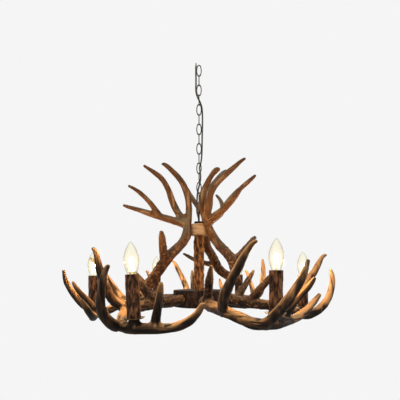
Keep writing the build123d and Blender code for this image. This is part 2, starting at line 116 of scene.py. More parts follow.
def outward(piece):
    """The direction that each corner faces."""
    values = np.empty(len(piece.data.vertices) * 3, np.float32)
    piece.data.vertex_normals.foreach_get("vector", values)
    return values.reshape(-1, 3).astype(float)


def paint(piece, name, values):
    """Store one number for each corner, for a material to read."""
    layer = piece.data.attributes.get(name) or piece.data.attributes.new(name, "FLOAT", "POINT")
    layer.data.foreach_set("value", values.astype(np.float32))


def ramp(values, low, high):
    """Rise smoothly from 0 at low to 1 at high."""
    share = np.clip((values - low) / (high - low), 0, 1)
    return share * share * (3 - 2 * share)


def lumps(points, size, seed):
    """Soft random values from about -1 to 1, with lumps of one size or of three sizes."""
    shift = Vector((seed * 7.3, seed * 3.1, seed * 5.7))
    scaled = points / np.array(size)
    return np.array([noise.noise(Vector(point) + shift) for point in scaled]) * 1.6


# %% [markdown]
# The photograph was taken level with the tops of the candles, about a metre away, and the
# picture was framed higher so that the chain fits. A level camera with its frame shifted
# up keeps the stem upright, which tilting the camera would not.

# %% Camera
eye_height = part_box("candle_sleeve_right")[1].z
camera_distance = 1.041
picture_size = 400
focal_length, shift_right, shift_up = 330.7, 1, 75  # in pixels of the picture
sensor_width = 36
camera_data = bpy.data.cameras.new("camera")
camera = bpy.data.objects.new("camera", camera_data)
bpy.context.scene.collection.objects.link(camera)
bpy.context.scene.camera = camera
camera_data.sensor_width = sensor_width
camera_data.lens = sensor_width * focal_length / picture_size
camera_data.shift_x = shift_right / picture_size
camera_data.shift_y = shift_up / picture_size
camera_data.clip_start = 0.01
camera.location = (0, -camera_distance, eye_height)
camera.rotation_euler = (math.pi / 2, 0, 0)
print("the lens is", round(camera_data.lens, 1), "mm")

# %% [markdown]
# The supply cord is laced through the chain, so its line is given point by point, from where it enters
# the stem up to its bare end beside the top link. A spline of order 3 passes smoothly along the
# points, and a round bevel gives it its thickness. The thickness is set as the points' radius, with a
# bevel of 1, because a curve's box is measured with it.

# %% Supply cord
cord_thickness = 0.0052
cord_points = [
    (0, 0, -0.503), (0, 0, -0.491), (-0.0018, -0.0014, -0.478), (-0.0058, -0.0044, -0.465),
    (-0.0072, -0.0068, -0.450), (-0.0064, -0.0094, -0.426), (-0.0046, -0.0088, -0.398),
    (0.0042, -0.0106, -0.368), (0.0052, -0.0096, -0.342), (0.0006, 0.0010, -0.321),
    (0.0053, 0.0070, -0.306), (0.0086, 0.0096, -0.286), (0.0096, 0.0110, -0.252),
    (0.0102, 0.0099, -0.210), (0.0113, 0.0108, -0.168), (0.0104, 0.0096, -0.132),
    (0.0056, 0.0039, -0.116), (-0.0056, -0.0039, -0.099), (-0.0102, -0.0098, -0.084),
    (-0.0091, -0.0120, -0.060), (-0.0099, -0.0129, -0.028), (-0.0095, -0.0125, -0.007),
]
cord_curve = bpy.data.curves.new("supply_cord_drape", "CURVE")
cord_curve.dimensions = "3D"
cord_curve.bevel_depth = 1
cord_curve.bevel_resolution = 6
cord_curve.resolution_u = 8
cord_curve.use_fill_caps = True
cord_line = cord_curve.splines.new("NURBS")
cord_line.points.add(len(cord_points) - 1)
for spot, point in zip(cord_line.points, cord_points):
    spot.co = (*point, 1)
    spot.radius = cord_thickness / 2
cord_line.order_u = 3
cord_line.use_endpoint_u = True
supply_cord = bpy.data.objects.new("supply_cord_drape", cord_curve)
bpy.context.scene.collection.objects.link(supply_cord)
stand_for(supply_cord, "supply_cord")
print("the cord follows", len(cord_points), "points")

# %% [markdown]
# The picture has a plain, nearly white ground with no shadow on it, so the room is an even
# pale light where the camera looks. Overhead the room is brighter and low down it is
# dimmer, which lights the antlers from above. A large soft light in front and a weaker one
# from the side give the modelling, and the pale floor is far below, out of the picture.

# %% Ground and studio light
ground_tone = (0.913, 0.913, 0.913)
room_levels = [(0.08, 0.25), (0.31, 1.0), (0.83, 1.0), (0.98, 2.9)]  # height share, strength
floor_size, floor_height = 8, -3.0
world = bpy.data.worlds.new("pale_room")
world.use_nodes = True
room = world.node_tree
room.nodes["Background"].inputs["Color"].default_value = (*ground_tone, 1)
direction = room.nodes.new("ShaderNodeTexCoord")
height_parts = room.nodes.new("ShaderNodeSeparateXYZ")
room.links.new(direction.outputs["Generated"], height_parts.inputs["Vector"])
height_share = room.nodes.new("ShaderNodeMapRange")
height_share.inputs["From Min"].default_value = -1
room.links.new(height_parts.outputs["Z"], height_share.inputs["Value"])
levels = room.nodes.new("ShaderNodeValToRGB")
levels.color_ramp.elements.new(0.5)
levels.color_ramp.elements.new(0.5)
for element, (position, level) in zip(levels.color_ramp.elements, room_levels):
    element.position = position
    element.color = (level, level, level, 1)
room.links.new(height_share.outputs["Result"], levels.inputs["Fac"])
room.links.new(levels.outputs["Color"], room.nodes["Background"].inputs["Strength"])
bpy.context.scene.world = world

bpy.ops.mesh.primitive_plane_add(size=floor_size, location=(0, 0, floor_height))
floor = bpy.context.object
floor.name = "floor"
bpy.ops.object.mode_set(mode="EDIT")
bpy.ops.mesh.subdivide(number_cuts=4)
bpy.ops.object.mode_set(mode="OBJECT")


def soft_light(name, place, size, power):
    """A square soft light that faces the ring of candles."""
    data = bpy.data.lights.new(name, "AREA")
    data.size = size
    data.energy = power
    lamp = bpy.data.objects.new(name, data)
    bpy.context.scene.collection.objects.link(lamp)
    lamp.location = place
    aim = Vector((0, 0, eye_height)) - lamp.location
    lamp.rotation_euler = aim.to_track_quat("-Z", "Y").to_euler()


soft_light("key_light", (-1.4, -1.8, 1.5), 1.2, 16)
soft_light("side_light", (2.2, 0.6, 0.8), 1.2, 9)
print("two soft lights")

# %% [markdown]
# A material here is a small net of nodes. One helper starts a net with its shader, and a
# few more add what nearly every finish needs: a soft noise, a colour ramp, a mix of two
# colours, and fine relief. Patterns read Object coordinates, so they stay on the piece.

# %% Helpers for finishes


class Finish:
    """A material's net of nodes, with short calls to add to it."""

    def __init__(self, name, roughness=0.5, metallic=0.0, gloss=0.5):
        self.material = bpy.data.materials.new(name)
        self.material.use_nodes = True
        self.tree = self.material.node_tree
        self.shader = self.tree.nodes["Principled BSDF"]
        self.shader.inputs["Roughness"].default_value = roughness
        self.shader.inputs["Metallic"].default_value = metallic
        self.shader.inputs["Specular IOR Level"].default_value = gloss
        self.place = self.tree.nodes.new("ShaderNodeTexCoord").outputs["Object"]

    def link(self, start, end):
        """Join an output to an input."""
        self.tree.links.new(start, end)

    def noise(self, scale, detail=4.0, stretch=(1, 1, 1)):
        """Soft noise, with grains of about 1 / scale metres; an axis below 1 is drawn out."""
        mapping = self.tree.nodes.new("ShaderNodeMapping")
        mapping.inputs["Scale"].default_value = stretch
        self.link(self.place, mapping.inputs["Vector"])
        texture = self.tree.nodes.new("ShaderNodeTexNoise")
        texture.inputs["Scale"].default_value = scale
        texture.inputs["Detail"].default_value = detail
        self.link(mapping.outputs["Vector"], texture.inputs["Vector"])
        return texture.outputs["Fac"]

    def painted(self, name):
        """A number stored on the piece's corners."""
        layer = self.tree.nodes.new("ShaderNodeAttribute")
        layer.attribute_name = name
        return layer.outputs["Fac"]

    def colours(self, factor, stops):
        """Turn a number into a colour by stops of (position, colour)."""
        node = self.tree.nodes.new("ShaderNodeValToRGB")
        while len(node.color_ramp.elements) < len(stops):
            node.color_ramp.elements.new(0.5)
        for element, (position, colour) in zip(node.color_ramp.elements, stops):
            element.position = position
            element.color = (*colour, 1)
        self.link(factor, node.inputs["Fac"])
        return node.outputs["Color"]

    def mix(self, factor, low, high):
        """Mix two colours, each a colour or an output."""
        node = self.tree.nodes.new("ShaderNodeMix")
        node.data_type = "RGBA"
        for value, socket in ((factor, node.inputs[0]), (low, node.inputs[6]), (high, node.inputs[7])):
            if isinstance(value, (int, float)):
                socket.default_value = value
            elif isinstance(value, tuple):
                socket.default_value = (*value, 1)
            else:
                self.link(value, socket)
        return node.outputs[2]

    def sum(self, kind, first, second):
        """Add, subtract or multiply two numbers, each a number or an output."""
        node = self.tree.nodes.new("ShaderNodeMath")
        node.operation = kind
        for value, socket in zip((first, second), node.inputs):
            if isinstance(value, (int, float)):
                socket.default_value = value
            else:
                self.link(value, socket)
        return node.outputs[0]

    def blend(self, first, first_share, second, second_share):
        """Add two numbers, each times its share."""
        first = self.sum("MULTIPLY", first, first_share)
        second = self.sum("MULTIPLY", second, second_share)
        return self.sum("ADD", first, second)

    def relief(self, height, depth, strength):
        """Fine relief from a number; depth is in metres."""
        node = self.tree.nodes.new("ShaderNodeBump")
        node.inputs["Distance"].default_value = depth
        node.inputs["Strength"].default_value = strength
        self.link(height, node.inputs["Height"])
        self.link(node.outputs["Normal"], self.shader.inputs["Normal"])

    def roughen(self, factor, low, high):
        """Vary the roughness between two values."""
        node = self.tree.nodes.new("ShaderNodeMapRange")
        node.inputs["To Min"].default_value = low
        node.inputs["To Max"].default_value = high
        self.link(factor, node.inputs["Value"])
        self.link(node.outputs["Result"], self.shader.inputs["Roughness"])

    def colour(self, value):
        """Set the surface's colour."""
        self.link(value, self.shader.inputs["Base Color"])


floor_finish = Finish("floor_plaster", roughness=0.9)
plaster_stops = [(0.3, (0.35, 0.35, 0.345)), (0.7, (0.38, 0.38, 0.375))]
floor_finish.colour(floor_finish.colours(floor_finish.noise(3), plaster_stops))
dress(floor, floor_finish.material)
bpy.context.scene.view_settings.view_transform = "Standard"

# %% [markdown]
# Chain and loop are steel wire with an antique bronze finish: dark brown, rubbed to a dull
# gold where hands and other links touch it. The stem tube, the nuts, the nipples and the
# screws in the arms are zinc plated. These parts only get a finish.

# %% Metal finishes


def worn_metal(name, dark, bright, roughness, grain=260.0):
    """Plated metal, darker in its pits and brighter where it is rubbed."""
    finish = Finish(name, metallic=0.85)
    cloud = finish.noise(grain, detail=6)
    finish.colour(finish.colours(cloud, [(0.35, dark), (0.65, bright)]))
    finish.roughen(finish.noise(grain * 2), roughness - 0.1, roughness + 0.15)
    finish.relief(finish.noise(grain * 4), 0.0002, 0.5)
    return finish.material


antique_bronze = worn_metal("antique_bronze", (0.002, 0.001, 0.0005), (0.034, 0.025, 0.010), 0.45)
zinc_plate = worn_metal("zinc_plate", (0.42, 0.42, 0.40), (0.60, 0.59, 0.56), 0.36)
aged_brass = worn_metal("aged_brass", (0.07, 0.038, 0.014), (0.30, 0.18, 0.065), 0.38, grain=140.0)
brown_enamel = worn_metal("brown_enamel", (0.018, 0.012, 0.008), (0.045, 0.03, 0.02), 0.45)
cap_nickel = worn_metal("cap_nickel", (0.55, 0.50, 0.40), (0.78, 0.72, 0.60), 0.25)
metal_parts = {
    "chain_link_top": antique_bronze,
    "chain_link_second": antique_bronze,
    "chain_links": antique_bronze,
    "suspension_loop": antique_bronze,
    "collar_screws": antique_bronze,
    "stem_tube": zinc_plate,
    "stem_nuts": zinc_plate,
    "arm_screws": zinc_plate,
    "candle_nipples": zinc_plate,
    "hub_cover": brown_enamel,
    "bottom_finial": brown_enamel,
}
for name in arm_names:
    metal_parts[f"drip_pan_{name}"] = aged_brass
    metal_parts[f"bulb_cap_{name}"] = cap_nickel
for node, material in metal_parts.items():
    dress(nodes[node], material)
print("metals on", len(metal_parts), "parts")

# %% [markdown]
# Cord and leads have soft sheaths, and the terminal block and lampholders are moulded.
# Moulded parts have a faint sparkle in their gloss and no strong pattern, so a small
# noise in colour and roughness is enough to keep them from looking flat.

# %% Sheaths and mouldings


def moulding(name, dark, bright, roughness, grain=300.0):
    """A moulded or sheathed surface with a faint change of tone."""
    finish = Finish(name)
    finish.colour(finish.colours(finish.noise(grain), [(0.3, dark), (0.7, bright)]))
    finish.roughen(finish.noise(grain * 3), roughness - 0.08, roughness + 0.08)
    finish.relief(finish.noise(grain * 5), 0.0001, 0.4)
    return finish.material


cord_sheath = moulding("cord_sheath", (0.014, 0.010, 0.005), (0.060, 0.044, 0.022), 0.45)
core_sheath = moulding("core_sheath", (0.25, 0.14, 0.07), (0.34, 0.20, 0.10), 0.35)
lead_sheath = moulding("lead_sheath", (0.02, 0.018, 0.016), (0.035, 0.03, 0.028), 0.5)
terminal_moulding = moulding("terminal_moulding", (0.60, 0.58, 0.53), (0.68, 0.66, 0.60), 0.4)
holder_moulding = moulding("holder_moulding", (0.02, 0.018, 0.016), (0.04, 0.035, 0.03), 0.35)
soft_parts = {
    "stem_lead": cord_sheath,
    "supply_cores": core_sheath,
    "lamp_leads": lead_sheath,
    "terminal_block": terminal_moulding,
    "lampholders": holder_moulding,
}
for node, material in soft_parts.items():
    dress(nodes[node], material)
dress(supply_cord, cord_sheath)
print("sheaths and mouldings on the cord and", len(soft_parts), "parts")

# %% [markdown]
# Each antler is one casting. Its solid is a set of plain tapered tines that meet in sharp
# corners, while a real antler flows from one tine to the next and has grain, ridges and a
# knobbly foot. So the solid is copied and remeshed into even small faces. Growing it by a
# few millimetres, remeshing and shrinking it again fills the corners like a web, and
# smoothing does the rest.

# %% Remesh an antler
web_reach = 0.0038
shrink_share = 0.82  # smoothing takes the rest of the growth away
face_size = 0.0017


def copy_of(node, name):
    """A copy of a solid part as one closed mesh."""
    piece = bpy.data.objects.new(name, nodes[node].data.copy())
    bpy.context.scene.collection.objects.link(piece)
    piece.data.materials.clear()
    pick(piece)
    bpy.ops.object.mode_set(mode="EDIT")
    bpy.ops.mesh.select_all(action="SELECT")
    bpy.ops.mesh.remove_doubles(threshold=0.00001)
    bpy.ops.object.mode_set(mode="OBJECT")
    return piece


def keep_largest(piece):
    """Drop loose bits of mesh, such as a filled channel's walls, inside a piece."""
    count = len(piece.data.vertices)
    pairs = edge_pairs(piece)
    group = np.arange(count)
    while True:
        low = np.minimum(group[pairs[:, 0]], group[pairs[:, 1]])
        before = group.copy()
        np.minimum.at(group, pairs[:, 0], low)
        np.minimum.at(group, pairs[:, 1], low)
        group = group[group]
        if (group == before).all():
            break
    main = np.bincount(group).argmax()
    piece.data.vertices.foreach_set("select", group != main)
    pick(piece)
    if (group != main).any():
        bpy.ops.object.mode_set(mode="EDIT")
        bpy.ops.mesh.select_mode(type="VERT")
        bpy.ops.mesh.delete(type="VERT")
        bpy.ops.object.mode_set(mode="OBJECT")


def edge_pairs(piece):
    """The two corners of every edge."""
    values = np.empty(len(piece.data.edges) * 2, np.int32)
    piece.data.edges.foreach_get("vertices", values)
    return values.reshape(-1, 2)


def webbed(node, name):
    """An antler as one even mesh with webs between its tines."""
    piece = copy_of(node, name)
    apply_modifier(piece, "REMESH", mode="VOXEL", voxel_size=face_size * 1.3)
    apply_modifier(piece, "DISPLACE", strength=web_reach, mid_level=0)
    apply_modifier(piece, "REMESH", mode="VOXEL", voxel_size=face_size)
    apply_modifier(piece, "SMOOTH", factor=0.5, iterations=6)
    apply_modifier(piece, "DISPLACE", strength=-web_reach * shrink_share, mid_level=0)
    apply_modifier(piece, "SMOOTH", factor=0.5, iterations=2)
    keep_largest(piece)
    return piece


# %% [markdown]
# Grain runs along a tine, and the mesh does not know which way that is. The direction is
# found from the mesh itself: round each of a few thousand sample corners, the neighbours
# within a couple of centimetres spread furthest along the tine. How far they spread
# across it also gives the thickness there, which tells tips from beams.

# %% Find how the tines run


def tine_run(points, reach=0.02, samples=1800):
    """For each corner, the direction of its tine and the tine's rough radius."""
    step = max(1, len(points) // samples)
    chosen = points[::step]
    tree = kdtree.KDTree(len(chosen))
    for index, point in enumerate(chosen):
        tree.insert(point, index)
    tree.balance()
    ways = np.zeros((len(chosen), 3))
    widths = np.zeros(len(chosen))
    for index, point in enumerate(chosen):
        near = np.array([found[0] for found in tree.find_range(point, reach)])
        spread, axes = np.linalg.eigh(np.cov((near - near.mean(0)).T))
        ways[index] = axes[:, 2]
        widths[index] = math.sqrt(max(spread[0] + spread[1], 1e-12))
    nearest = np.array([tree.find(point)[1] for point in points])
    return ways[nearest], widths[nearest]


def along_grain(values, pairs, points, ways, rounds):
    """Blur numbers along the tines only, which turns specks into grain."""
    one, two = pairs[:, 0], pairs[:, 1]
    steps = points[two] - points[one]
    lengths = np.linalg.norm(steps, axis=1) + 1e-12
    agree = np.sign((ways[one] * ways[two]).sum(1))[:, None]
    way = ways[one] + ways[two] * agree
    way /= np.linalg.norm(way, axis=1)[:, None] + 1e-9
    weight = (np.abs((steps * way).sum(1)) / lengths) ** 6
    own_weight = 0.35
    total = np.full(len(points), own_weight)
    np.add.at(total, one, weight)
    np.add.at(total, two, weight)
    for _ in range(rounds):
        moved = values * own_weight
        moved += np.bincount(one, weight * values[two], len(points))
        moved += np.bincount(two, weight * values[one], len(points))
        values = moved / total
    return values


# %% [markdown]
# Now the antler gets its surface. Specks blurred along the tines become shallow grooves, slow lumps
# make the beams a little uneven, and near the foot a coarse noise raises the knobs that antlers have
# there. The same numbers are kept on the corners, so that the stain can gather in the grooves, and can
# differ at the foot and at the tips. An upper mark, from how far each corner faces up, is kept as
# well, for painted light and shade on the upper side and underneath, and round a candle's seat it
# gives the upper side painted shade.

# %% Carve and mark an antler
groove_depth = 0.0005
knob_height = 0.0016
unevenness = 0.0006
tip_widths = (0.0042, 0.0088)
seat_shade, seat_reach = 0.42, (0.03, 0.09)
arm_foot_reach = (0.17, 0.29)
crown_foot_reach = (0.09, 0.23)


def carved_antler(node, foot, seed, seat=None):
    """A finished antler for a solid one.

    The function foot gives 1 near its thick end, and seat names the drip pan that stands on it, round
    which the upper side gets painted shade.
    """
    piece = webbed(node, f"{node}_casting")
    points = corners(piece)
    pairs = edge_pairs(piece)
    ways, widths = tine_run(points)
    facing = outward(piece)[:, 2]
    random = np.random.default_rng(seed)
    fine = along_grain(random.normal(size=len(points)), pairs, points, ways, 90)
    fine /= fine.std()
    broad = along_grain(lumps(points, 0.005, seed), pairs, points, ways, 140)
    broad /= broad.std()
    rough = foot(points)
    knobs = np.abs(lumps(points, 0.0085, seed + 2)) + 0.6 * np.abs(lumps(points, 0.0045, seed + 3))
    slow = lumps(points, 0.035, seed + 4)
    body = ramp(widths, 0.0035, 0.009)
    shift = groove_depth * np.clip(0.45 * fine + 0.75 * broad, -2, 2) * (0.35 + 0.65 * body)
    shift += knob_height * rough * (knobs - 0.55)
    shift += unevenness * slow * body
    move_corners(piece, points + outward(piece) * shift[:, None])
    apply_modifier(piece, "SMOOTH", factor=0.35, iterations=1)
    paint(piece, "grain", np.clip(0.5 + 0.1 * fine + 0.2 * broad, 0, 1))
    paint(piece, "foot", rough)
    paint(piece, "knob", np.clip(knobs * 0.7, 0, 1))
    paint(piece, "tip", 1 - ramp(widths, *tip_widths))
    height = points[:, 2] - points[:, 2].min()
    paint(piece, "cut_end", rough * (1 - ramp(height, 0.004, 0.016)))
    # Painted light and shade: the upper mark rises from 0 on faces turned down to 1 on faces turned
    # up.
    upper = ramp(facing, -0.75, 0.75)
    if seat:
        low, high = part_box(seat)
        middle = (low + high) / 2
        away = np.hypot(points[:, 0] - middle.x, points[:, 1] - middle.y)
        # Painted shade beneath the candle: the upper mark is lowered round the drip pan's middle.
        upper -= seat_shade * (1 - ramp(away, *seat_reach))
    paint(piece, "upper", upper)
    pick(piece)
    bpy.ops.object.shade_smooth()
    stand_for(piece, node)
    print(node, len(piece.data.polygons), "faces")
    return piece


def arm_foot(points):
    """The rough stretch of an arm antler, from the hub out."""
    return 1 - ramp(np.hypot(points[:, 0], points[:, 1]), *arm_foot_reach)


crown_low = min(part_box(f"crown_antler_{name}")[0].z for name in crown_names)


def crown_foot(points):
    """The rough stretch of a crown antler, up from its burr."""
    return 1 - ramp(points[:, 2] - crown_low, *crown_foot_reach)


arm_antlers = [
    carved_antler(f"arm_antler_{name}", arm_foot, seed, f"drip_pan_{name}")
    for seed, name in enumerate(arm_names, start=11)
]
crown_antlers = [
    carved_antler(f"crown_antler_{name}", crown_foot, seed)
    for seed, name in enumerate(crown_names, start=41)
]

# %% [markdown]
# The castings are stained by hand. The ground colour is a warm brown with a paler grain, and the dark
# stain lies in the grooves and at the foot. The arms are tan at the tips, with painted shade
# underneath, nearly black, and painted tan light on their upper side. The crown antlers are orange
# brown with dark tips, with painted olive grey shade on their upper sides and painted orange light
# from the bulbs underneath.

# %% Antler finishes
dull_gloss = 0.08
cut_end_colour = (0.008, 0.005, 0.004)


def antler_finish(name, grain_stops, painted_upper_colour, painted_under_and_groove_colour, painted_side_share, tip_colour, foot_stops):
    """Stained resin that reads the grain, foot, cut end and tip marks of an antler, with painted light
    and shade from its upper mark.
    """
    finish = Finish(name, gloss=dull_gloss)
    grain = finish.painted("grain")
    cloud = finish.noise(22, detail=3)
    base = finish.colours(finish.blend(grain, 0.5, cloud, 0.55), grain_stops)
    streak = finish.sum("SUBTRACT", finish.blend(cloud, 0.4, grain, 0.6), 0.5)
    ragged = finish.sum("ADD", finish.painted("upper"), finish.sum("MULTIPLY", streak, 0.6))
    # Painted light and shade: the upper mark, made ragged by the streaks, gives one mask for the upper
    # side and one for the underside.
    painted_upper_mask = finish.colours(ragged, [(0.60, (0, 0, 0)), (0.96, (1, 1, 1))])
    below = finish.colours(ragged, [(0.16, (1, 1, 1)), (0.60, (0, 0, 0))])
    base = finish.mix(finish.sum("MULTIPLY", painted_upper_mask, painted_side_share), base, painted_upper_colour)
    base = finish.mix(finish.sum("MULTIPLY", below, painted_side_share), base, painted_under_and_groove_colour)
    specks = finish.noise(150, detail=6)
    bark = finish.colours(finish.blend(finish.painted("knob"), 0.5, specks, 0.5), foot_stops)
    base = finish.mix(finish.sum("MULTIPLY", finish.painted("foot"), 0.9), base, bark)
    base = finish.mix(finish.sum("MULTIPLY", finish.painted("cut_end"), 0.85), base, cut_end_colour)
    patches = finish.colours(cloud, [(0.3, (0.35,) * 3), (0.6, (1,) * 3)])
    tip = finish.sum("MULTIPLY", finish.painted("tip"), patches)
    base = finish.mix(finish.sum("MULTIPLY", tip, 0.65), base, tip_colour)
    grooves = finish.colours(grain, [(0.18, (0.75,) * 3), (0.4, (0,) * 3)])
    base = finish.mix(grooves, base, painted_under_and_groove_colour)
    finish.colour(base)
    finish.roughen(finish.noise(90), 0.36, 0.62)
    finish.relief(finish.sum("ADD", grain, finish.noise(420, detail=3)), 0.0006, 0.6)
    return finish.material


# The arms get painted tan light on their upper side and painted shade, nearly black, underneath; that
# dark also fills the grooves.
arm_stain_painted_light = antler_finish(
    "arm_stain_painted_light",
    [(0.36, (0.016, 0.009, 0.005)), (0.52, (0.074, 0.035, 0.015)), (0.68, (0.20, 0.096, 0.036))],
    (0.38, 0.198, 0.074), (0.006, 0.004, 0.003), 0.9, (0.26, 0.14, 0.055),
    [(0.34, (0.006, 0.004, 0.003)), (0.50, (0.032, 0.016, 0.008)), (0.70, (0.12, 0.056, 0.022))],
)
# The crown antlers get painted olive grey shade on their upper side and painted orange light from the
# bulbs underneath; that orange also fills the grooves.
crown_stain_painted_light = antler_finish(
    "crown_stain_painted_light",
    [(0.38, (0.020, 0.009, 0.004)), (0.52, (0.100, 0.044, 0.016)), (0.66, (0.31, 0.160, 0.066))],
    (0.088, 0.066, 0.036), (0.140, 0.055, 0.018), 0.80, (0.020, 0.014, 0.009),
    [(0.34, (0.006, 0.003, 0.002)), (0.50, (0.050, 0.020, 0.009)), (0.70, (0.19, 0.078, 0.028))],
)
for piece in arm_antlers:
    dress(piece, arm_stain_painted_light)
for piece in crown_antlers:
    dress(piece, crown_stain_painted_light)

# %% [markdown]
# The stem, the hub and the candles are cast with a bark skin, like thin branches. Bark is
# furrowed lengthwise, so each piece starts as a cylinder with many small faces, and its
# side is moved in and out by a noise that is stretched along the branch. The ends stay
# flat, because they meet other parts.

# %% Bark covered cylinders
furrow_size = 0.0055
rib_size = 0.0028
bark_sides = 128
shortest_tube = 0.06


def axis_of(node):
    """The middle of a solid part's lower end and of its upper end, along its own length."""
    points = corners(nodes[node])
    middle = points.mean(0)
    way = np.array((0, 0, 1.0))
    if np.ptp(points[:, 2]) > shortest_tube:
        way = np.linalg.svd(points - middle, full_matrices=False)[2][0]
        way = way * math.copysign(1, way[2])
    reach = (points - middle) @ way
    low, high = reach.min(), reach.max()
    foot = points[reach < low + 0.0005].mean(0)
    head = points[reach > high - 0.0005].mean(0)
    return Vector(foot), Vector(head)


def place_upright(piece, foot, head):
    """Move a piece modelled upright from the origin onto the line from foot to head."""
    way = (head - foot).normalized()
    turn = Vector((0, 0, 1)).rotation_difference(way).to_matrix().to_4x4()
    piece.data.transform(Matrix.Translation(foot) @ turn)
    piece.data.update()


def bark_cylinder(name, radius, length, seed, depth, rows, stretch, wall=0.0):
    """A furrowed cylinder standing on the origin, or a tube if it has a wall."""
    bpy.ops.object.select_all(action="DESELECT")
    bpy.ops.mesh.primitive_cylinder_add(
        vertices=bark_sides, radius=radius, depth=length, location=(0, 0, length / 2),
        end_fill_type="NOTHING" if wall else "NGON",
    )
    piece = bpy.context.object
    piece.name = name
    bpy.ops.object.transform_apply(location=True)
    bpy.ops.object.mode_set(mode="EDIT")
    bpy.ops.mesh.select_mode(type="EDGE")
    bpy.ops.mesh.select_all(action="DESELECT")
    bpy.ops.object.mode_set(mode="OBJECT")
    for edge in piece.data.edges:
        one, two = (piece.data.vertices[index].co for index in edge.vertices)
        edge.select = abs(one.z - two.z) > length / 2
    bpy.ops.object.mode_set(mode="EDIT")
    bpy.ops.mesh.subdivide_edgering(number_cuts=rows, smoothness=0, interpolation="LINEAR")
    bpy.ops.object.mode_set(mode="OBJECT")
    points = corners(piece)
    ends = ramp(points[:, 2], 0, 0.004) * (1 - ramp(points[:, 2], length - 0.004, length))
    furrows = lumps(points, (furrow_size, furrow_size, furrow_size * stretch), seed)
    ribs = np.abs(lumps(points, (rib_size, rib_size, rib_size * stretch), seed + 1))
    slow = lumps(points, (0.02, 0.02, 0.05), seed + 2)
    shift = depth * (0.75 * furrows + 0.55 * (0.4 - ribs) + 0.54 * slow)
    shift *= 0.35 + 0.65 * ends
    side = np.hypot(points[:, 0], points[:, 1]) + 1e-9
    points[:, 0] *= 1 + shift / side
    points[:, 1] *= 1 + shift / side
    move_corners(piece, points)
    paint(piece, "furrow", np.clip(0.5 + 0.55 * furrows - 0.35 * (ribs - 0.3), 0, 1))
    if wall:
        apply_modifier(piece, "SOLIDIFY", thickness=wall, offset=-1)
    pick(piece)
    bpy.ops.object.shade_smooth_by_angle(angle=math.radians(50))
    return piece


sleeve_radius = 0.01575
sleeve_wall = 0.0016
sleeves = []
for index, name in enumerate(arm_names):
    foot, head = axis_of(f"candle_sleeve_{name}")
    sleeve = bark_cylinder(
        f"bark_sleeve_{name}", sleeve_radius, (head - foot).length, 61 + index * 3,
        depth=0.0008, rows=48, stretch=3.2, wall=sleeve_wall,
    )
    place_upright(sleeve, foot, head)
    stand_for(sleeve, f"candle_sleeve_{name}")
    sleeves.append(sleeve)

low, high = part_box("bark_column")
column = bark_cylinder(
    "bark_stem", (high.x - low.x) / 2, high.z - low.z, 91, depth=0.0019, rows=80, stretch=2.6,
)
place_upright(column, Vector((0, 0, low.z)), Vector((0, 0, high.z)))
stand_for(column, "bark_column")
print("bark on", len(sleeves), "sleeves and the stem")

# %% [markdown]
# The hub drum is a short log with rough sides, and it is hollow below, where the cover
# closes it. Its solid is copied and remeshed, because it has holes for leads and screws
# that must stay, and only its outer skin is roughened.

# %% Hub drum and collar
hub_face_size = 0.0013
hub_roughness = 0.0011
collar_face_size = 0.0009
collar_unevenness = 0.0004
low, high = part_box("hub_drum")
hub_radius = (high.x - low.x) / 2
hub = copy_of("hub_drum", "bark_hub")
apply_modifier(hub, "REMESH", mode="VOXEL", voxel_size=hub_face_size)
points = corners(hub)
side = np.hypot(points[:, 0], points[:, 1])
skin = ramp(side, hub_radius - 0.0012, hub_radius - 0.0002)
rough = lumps(points, (0.009, 0.009, 0.02), 101) + 0.7 * np.abs(lumps(points, 0.005, 102)) - 0.3
points += outward(hub) * (hub_roughness * rough * skin)[:, None]
move_corners(hub, points)
paint(hub, "furrow", np.clip(0.45 + 0.4 * rough, 0, 1))
pick(hub)
bpy.ops.object.shade_smooth_by_angle(angle=math.radians(40))
stand_for(hub, "hub_drum")

collar = copy_of("collar", "turned_collar")
apply_modifier(collar, "REMESH", mode="VOXEL", voxel_size=collar_face_size)
apply_modifier(collar, "SMOOTH", factor=0.5, iterations=3)
points = corners(collar)
points += outward(collar) * (collar_unevenness * lumps(points, 0.02, 111))[:, None]
move_corners(collar, points)
pick(collar)
bpy.ops.object.shade_smooth()
stand_for(collar, "collar")
print("hub", len(hub.data.polygons), "faces, collar", len(collar.data.polygons))

# %% [markdown]
# Bark is dark in its furrows and lighter, redder and dry on its ridges, with pale flakes here and
# there. The furrow mark on the corners decides between them, and a long thin noise adds the fibres.
# The collar is smooth and golden brown, with painted shade, nearly black, on one side.

# %% Bark and collar finishes


def bark_finish(name, stops, flake, flake_share):
    """Bark skin that reads the furrow mark of a piece."""
    finish = Finish(name, gloss=dull_gloss)
    fibres = finish.noise(300, detail=5, stretch=(1, 1, 0.35))
    patches = finish.noise(45, detail=3, stretch=(1, 1, 0.6))
    level = finish.blend(finish.painted("furrow"), 0.32, fibres, 0.45)
    level = finish.sum("ADD", level, finish.sum("MULTIPLY", patches, 0.3))
    base = finish.colours(level, stops)
    long_spots = finish.noise(120, detail=4, stretch=(1, 1, 0.3))
    flakes = finish.colours(long_spots, [(0.58, (0,) * 3), (0.68, (1,) * 3)])
    base = finish.mix(finish.sum("MULTIPLY", flakes, flake_share), base, flake)
    finish.colour(base)
    finish.roughen(fibres, 0.5, 0.8)
    finish.relief(level, 0.0016, 0.7)
    return finish.material


